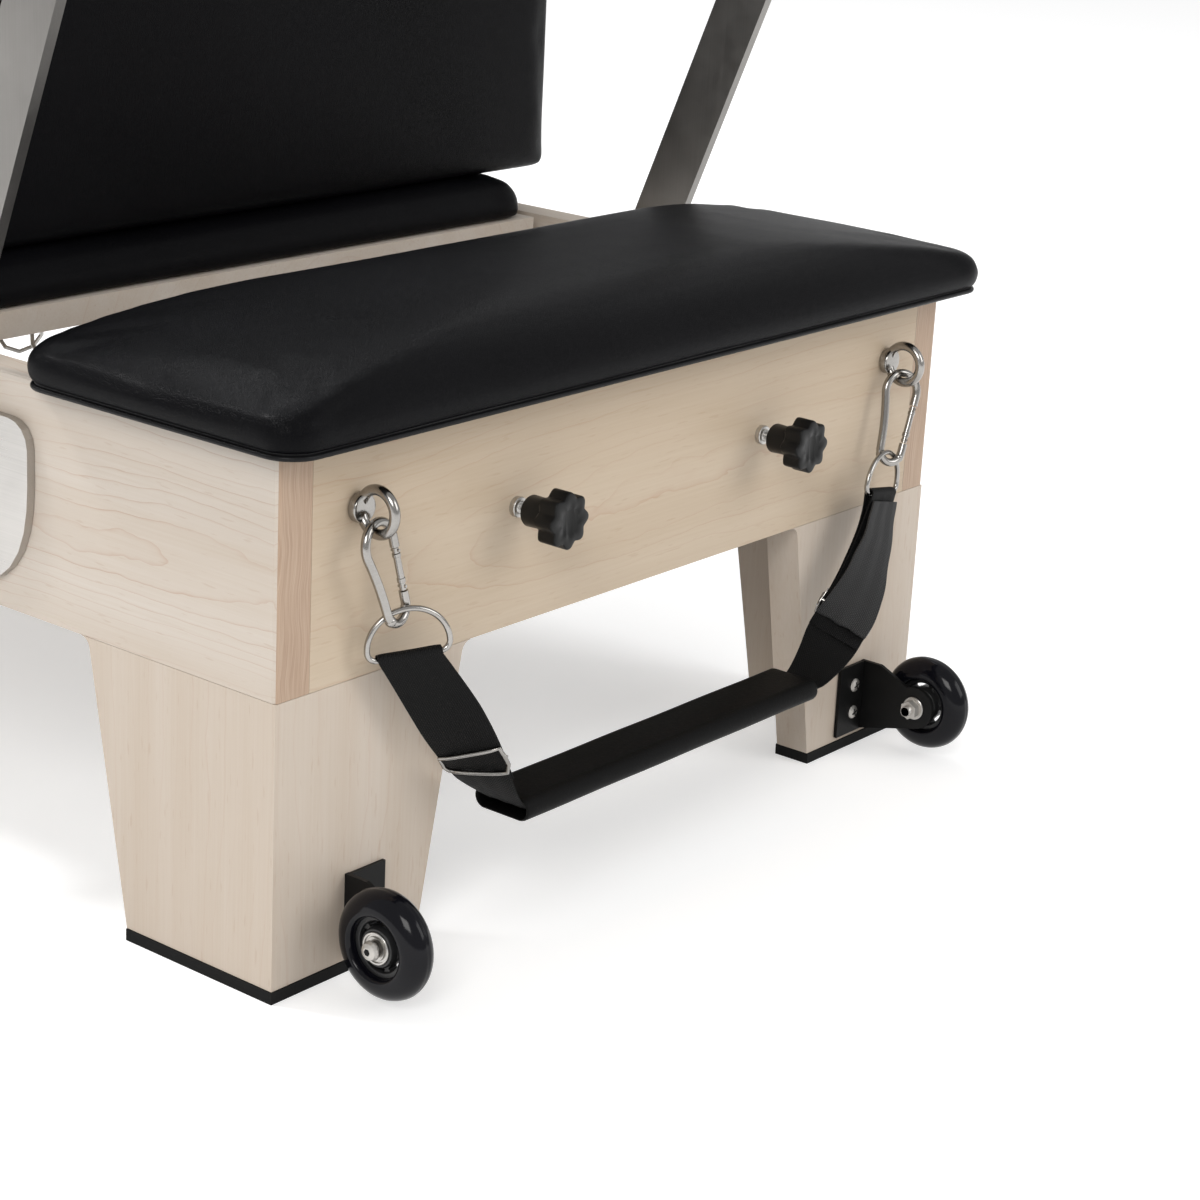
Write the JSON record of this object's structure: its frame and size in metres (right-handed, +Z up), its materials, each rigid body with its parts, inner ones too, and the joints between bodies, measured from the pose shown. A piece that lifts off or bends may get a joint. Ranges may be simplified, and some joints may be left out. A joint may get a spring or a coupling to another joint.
{
  "type": "pilates reformer with tower",
  "caption": "Wooden pilates reformer with a sprung carriage, padded foot platform, footbar, foot strap, sitting box, transport wheels and a steel tower.",
  "frame": {"origin": "on the floor under the middle of the bounding box", "axes": "+X to the right seen from the foot end, +Y from the foot end to the tower, +Z up"},
  "size_m": [0.78, 2.5269, 2.1],
  "materials": {
    "maple": "clear satin lacquer on pale maple",
    "vinyl": "smooth black upholstery vinyl",
    "stainless": "polished stainless steel",
    "brushed": "brushed bright steel",
    "black_steel": "black powder coat",
    "black_plastic": "moulded black plastic",
    "webbing": "black woven webbing",
    "rubber": "black rubber",
    "polyurethane": "glossy black urethane"
  },
  "bodies": {
    "frame": {"side_rail_left": "maple", "side_rail_right": "maple", "end_rail_foot": "maple", "end_rail_head": "maple", "leg_foot_left": "maple", "rubber_foot_foot_left": "rubber", "leg_foot_right": "maple", "rubber_foot_foot_right": "rubber", "leg_head_left": "maple", "rubber_foot_head_left": "rubber", "leg_head_right": "maple", "rubber_foot_head_right": "rubber", "platform_board": "vinyl", "platform_pad": "vinyl", "eye_bolt_left": "stainless", "eye_bolt_right": "stainless", "wheel_bracket_left": "black_steel", "wheel_bracket_right": "black_steel", "footbar_plate_left": "brushed", "footbar_plate_right": "brushed", "spring_bar": "brushed", "carriage_spring_1": "stainless", "carriage_spring_2": "stainless", "carriage_spring_3": "stainless", "carriage_spring_4": "stainless", "tower_frame": "stainless"},
    "footbar": {"footbar": "brushed", "footbar_grip": "rubber"},
    "carriage": {"carriage_board": "maple", "carriage_pad": "vinyl", "shoulder_rest_left": "vinyl", "shoulder_rest_right": "vinyl"},
    "foot_strap": {"snap_hook_left": "stainless", "snap_hook_right": "stainless", "dee_ring_left": "stainless", "dee_ring_right": "stainless", "strap_webbing": "webbing", "strap_slide_left": "stainless", "strap_slide_right": "stainless", "strap_handle": "rubber"},
    "push_through_bar": {"push_through_bar": "stainless"},
    "headrest": {"headrest": "vinyl"},
    "sitting_box": {"sitting_box": "vinyl"},
    "carriage_roller_front_left": {"carriage_roller_front_left": "black_plastic"},
    "carriage_roller_front_right": {"carriage_roller_front_right": "black_plastic"},
    "carriage_roller_back_left": {"carriage_roller_back_left": "black_plastic"},
    "carriage_roller_back_right": {"carriage_roller_back_right": "black_plastic"},
    "star_knob_left": {"star_knob_left": "black_plastic"},
    "footbar_knob_left": {"footbar_knob_left": "black_plastic"},
    "snap_gate_left": {"snap_gate_left": "stainless"},
    "transport_wheel_left": {"transport_wheel_left": "polyurethane"},
    "leg_spring_left": {"leg_spring_left": "stainless"},
    "pulley_left": {"pulley_left": "black_plastic"},
    "star_knob_right": {"star_knob_right": "black_plastic"},
    "footbar_knob_right": {"footbar_knob_right": "black_plastic"},
    "snap_gate_right": {"snap_gate_right": "stainless"},
    "transport_wheel_right": {"transport_wheel_right": "polyurethane"},
    "leg_spring_right": {"leg_spring_right": "stainless"},
    "pulley_right": {"pulley_right": "black_plastic"}
  },
  "joints": [
    {"name": "footbar_pivot", "type": "hinge", "parent": "frame", "child": "footbar", "pos_m": [0, -0.8635, 0.275], "axis": [1, 0, 0], "range_deg": [-36, 8]},
    {"name": "carriage_slide", "type": "slide", "parent": "frame", "child": "carriage", "axis": [0, 1, 0], "range_m": [0, 0.9], "stiffness_N_per_m": 300, "deforming": ["carriage_spring_1", "carriage_spring_2", "carriage_spring_3", "carriage_spring_4"]},
    {"name": "carriage_roller_front_left_spin", "type": "hinge", "parent": "carriage", "child": "carriage_roller_front_left", "pos_m": [-0.3025, -0.708, 0.2973], "axis": [-1, 0, 0], "range_deg": [0, 2400]},
    {"name": "carriage_roller_front_right_spin", "type": "hinge", "parent": "carriage", "child": "carriage_roller_front_right", "pos_m": [0.3025, -0.708, 0.2973], "axis": [-1, 0, 0], "range_deg": [0, 2400]},
    {"name": "carriage_roller_back_left_spin", "type": "hinge", "parent": "carriage", "child": "carriage_roller_back_left", "pos_m": [-0.3025, -0.048, 0.2973], "axis": [-1, 0, 0], "range_deg": [0, 2400]},
    {"name": "carriage_roller_back_right_spin", "type": "hinge", "parent": "carriage", "child": "carriage_roller_back_right", "pos_m": [0.3025, -0.048, 0.2973], "axis": [-1, 0, 0], "range_deg": [0, 2400]},
    {"name": "headrest_tilt", "type": "hinge", "parent": "carriage", "child": "headrest", "pos_m": [0, 0.056, 0.3773], "axis": [1, 0, 0], "range_deg": [0, 40]},
    {"name": "sitting_box_lift", "type": "slide", "parent": "carriage", "child": "sitting_box", "axis": [0, 0, 1], "range_m": [0, 0.15]},
    {"name": "foot_strap_swing", "type": "hinge", "parent": "frame", "child": "foot_strap", "pos_m": [0, -1.1935, 0.3052], "axis": [-1, 0, 0], "range_deg": [-1, 95]},
    {"name": "push_through_bar_swing", "type": "hinge", "parent": "frame", "child": "push_through_bar", "pos_m": [0, 1.2445, 1.96], "axis": [1, 0, 0], "range_deg": [-100, 100]},
    {"name": "star_knob_left_turn", "type": "hinge", "parent": "frame", "child": "star_knob_left", "pos_m": [-0.137, -1.177, 0.276], "axis": [0, -1, 0], "continuous": true},
    {"name": "footbar_knob_left_turn", "type": "hinge", "parent": "footbar", "child": "footbar_knob_left", "pos_m": [-0.368, -0.84461, 0.22655], "axis": [-1, 0, 0], "continuous": true},
    {"name": "snap_gate_left_open", "type": "hinge", "parent": "foot_strap", "child": "snap_gate_left", "pos_m": [-0.26657, -1.19238, 0.27963], "axis": [-0.1381, 0.983, -0.1209], "range_deg": [0, 14], "stiffness_Nm_per_rad": 0.02},
    {"name": "transport_wheel_left_spin", "type": "hinge", "parent": "frame", "child": "transport_wheel_left", "pos_m": [-0.303, -1.2275, 0.042], "axis": [1, 0, 0], "continuous": true},
    {"name": "leg_spring_left_swing", "type": "hinge", "parent": "frame", "child": "leg_spring_left", "pos_m": [-0.3, 1.2045, 1.84], "axis": [-1, 0, 0], "range_deg": [0, 80]},
    {"name": "pulley_left_spin", "type": "hinge", "parent": "frame", "child": "pulley_left", "pos_m": [-0.3, 1.1655, 0.78], "axis": [1, 0, 0], "continuous": true},
    {"name": "star_knob_right_turn", "type": "hinge", "parent": "frame", "child": "star_knob_right", "pos_m": [0.128, -1.177, 0.276], "axis": [0, -1, 0], "continuous": true},
    {"name": "footbar_knob_right_turn", "type": "hinge", "parent": "footbar", "child": "footbar_knob_right", "pos_m": [0.368, -0.84461, 0.22655], "axis": [1, 0, 0], "continuous": true},
    {"name": "snap_gate_right_open", "type": "hinge", "parent": "foot_strap", "child": "snap_gate_right", "pos_m": [0.29114, -1.19959, 0.27263], "axis": [0.3366, 0.9248, -0.1774], "range_deg": [0, 14], "stiffness_Nm_per_rad": 0.02},
    {"name": "transport_wheel_right_spin", "type": "hinge", "parent": "frame", "child": "transport_wheel_right", "pos_m": [0.303, -1.2275, 0.042], "axis": [1, 0, 0], "continuous": true},
    {"name": "leg_spring_right_swing", "type": "hinge", "parent": "frame", "child": "leg_spring_right", "pos_m": [0.3, 1.2045, 1.84], "axis": [-1, 0, 0], "range_deg": [0, 80]},
    {"name": "pulley_right_spin", "type": "hinge", "parent": "frame", "child": "pulley_right", "pos_m": [0.3, 1.1655, 0.78], "axis": [1, 0, 0], "continuous": true}
  ],
  "couplings": [
    {"joint": "carriage_roller_front_left_spin", "follows": "carriage_slide", "rad_per_m": 45.455},
    {"joint": "carriage_roller_front_right_spin", "follows": "carriage_slide", "rad_per_m": 45.455},
    {"joint": "carriage_roller_back_left_spin", "follows": "carriage_slide", "rad_per_m": 45.455},
    {"joint": "carriage_roller_back_right_spin", "follows": "carriage_slide", "rad_per_m": 45.455}
  ]
}
